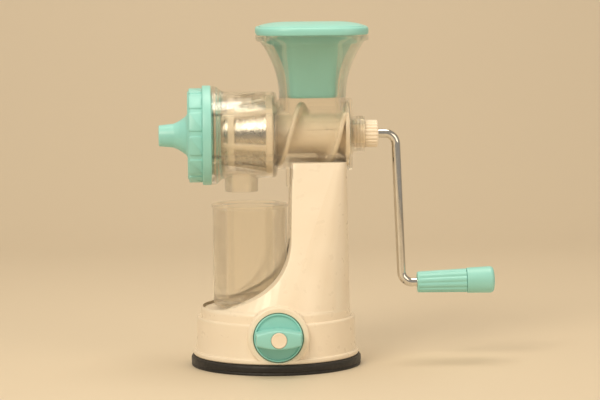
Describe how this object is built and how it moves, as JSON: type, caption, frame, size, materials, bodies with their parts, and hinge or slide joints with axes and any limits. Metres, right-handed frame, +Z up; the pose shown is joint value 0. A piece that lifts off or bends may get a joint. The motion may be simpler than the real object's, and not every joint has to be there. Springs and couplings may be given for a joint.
{
  "type": "hand crank juicer",
  "caption": "Hand-crank fruit juicer on a suction stand: clear auger body with hopper, strainer, pulp nozzle, bent crank with grip, and a glass under the spout.",
  "frame": {"origin": "centre of the suction pad's flat underside, on the table", "axes": "+Z up, +X towards the crank, -Y towards the user"},
  "size_m": [0.3001, 0.1652, 0.3058],
  "materials": {
    "white_abs": "moulded ABS, satin gloss",
    "turquoise_abs": "moulded ABS, fine satin texture",
    "clear_polycarbonate": "clear moulded plastic, polished",
    "black_rubber": "moulded rubber",
    "milky_silicone": "moulded translucent silicone",
    "grey_acetal": "moulded acetal",
    "steel": "stainless steel, satin",
    "chromed_steel": "bright chrome on steel rod"
  },
  "bodies": {
    "base": {"stand_body": "white_abs", "suction_pad": "black_rubber", "base_plate": "grey_acetal", "plate_screw_1": "steel", "plate_screw_2": "steel", "plate_screw_3": "steel", "plate_screw_4": "steel", "return_spring": "steel", "juicer_body": "clear_polycarbonate", "head_screw_left": "steel", "head_screw_right": "steel", "rear_seal": "milky_silicone", "rear_bush": "white_abs", "strainer_frame": "white_abs", "strainer_mesh": "steel"},
    "drive": {"auger": "white_abs", "auger_shaft": "steel", "crank_nut": "white_abs", "crank_rod": "chromed_steel", "grip_retainer": "steel"},
    "grip": {"crank_grip": "turquoise_abs", "grip_end_cap": "turquoise_abs"},
    "lock": {"lock_knob": "turquoise_abs", "knob_screw": "steel", "knob_cap": "white_abs", "cam_shaft": "steel", "shaft_clip": "steel"},
    "lifter": {"lift_yoke": "grey_acetal"},
    "cap_ring": {"front_seal": "milky_silicone"},
    "cap": {"front_cap": "turquoise_abs"},
    "pusher": {"pusher_plug": "turquoise_abs", "pusher_cover": "turquoise_abs"},
    "glass": {"juice_glass": "clear_polycarbonate"}
  },
  "joints": [
    {"name": "crank_spin", "type": "hinge", "parent": "base", "child": "drive", "pos_m": [0, 0, 0.206], "axis": [1, 0, 0], "continuous": true},
    {"name": "grip_spin", "type": "hinge", "parent": "drive", "child": "grip", "pos_m": [0.1136, 0, 0.0713], "axis": [0.9997, 0, 0.0227], "continuous": true},
    {"name": "knob_turn", "type": "hinge", "parent": "base", "child": "lock", "pos_m": [0, 0, 0.033], "axis": [0, -1, 0], "range_deg": [0, 90]},
    {"name": "pad_lift", "type": "slide", "parent": "base", "child": "lifter", "axis": [0, 0, 1], "range_m": [0, 0.003], "deforming": ["return_spring", "suction_pad"]},
    {"name": "cap_slide", "type": "slide", "parent": "base", "child": "cap_ring", "axis": [-1, 0, 0], "range_m": [0, 0.006]},
    {"name": "cap_turn", "type": "hinge", "parent": "cap_ring", "child": "cap", "pos_m": [-0.056, 0, 0.206], "axis": [-1, 0, 0], "range_deg": [0, 180]},
    {"name": "pusher_lift", "type": "slide", "parent": "base", "child": "pusher", "axis": [0, 0, 1], "range_m": [0, 0.08]},
    {"name": "glass_slide", "type": "slide", "parent": "base", "child": "glass", "axis": [-1, 0, 0], "range_m": [0, 0.1]}
  ],
  "couplings": [
    {"joint": "pad_lift", "follows": "knob_turn", "m_per_rad": 0.0019099},
    {"joint": "cap_slide", "follows": "cap_turn", "m_per_rad": 0.0019099}
  ]
}
